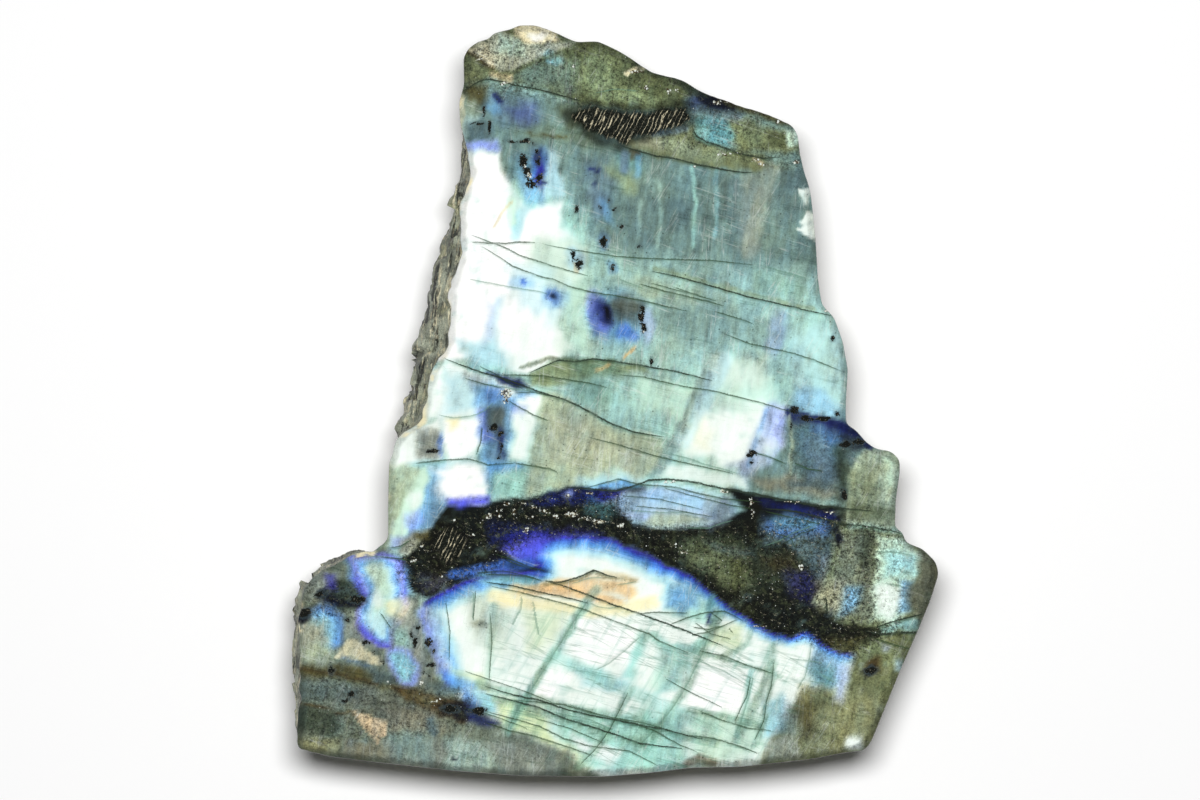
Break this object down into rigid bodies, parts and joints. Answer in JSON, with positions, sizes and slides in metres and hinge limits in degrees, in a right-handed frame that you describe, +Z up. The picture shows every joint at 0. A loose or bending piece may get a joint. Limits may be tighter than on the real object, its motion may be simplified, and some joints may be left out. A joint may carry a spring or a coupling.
{
  "type": "rough labradorite chunk",
  "caption": "Rough labradorite chunk with one polished face of blue and mint flash, broken ledged sides and a flat cleavage back it rests on.",
  "frame": {"origin": "on the flat cleavage plane that the stone rests on, under the middle of the polished face", "axes": "+Z up, out of the polished face; +Y to the narrow head of the stone; +X to its right as one looks down on the face"},
  "size_m": [0.1291, 0.1499, 0.034],
  "materials": {
    "labradorite": "polished on the face, broken and matt elsewhere"
  },
  "bodies": {
    "root": {"labradorite_chunk": "labradorite"}
  },
  "joints": []
}
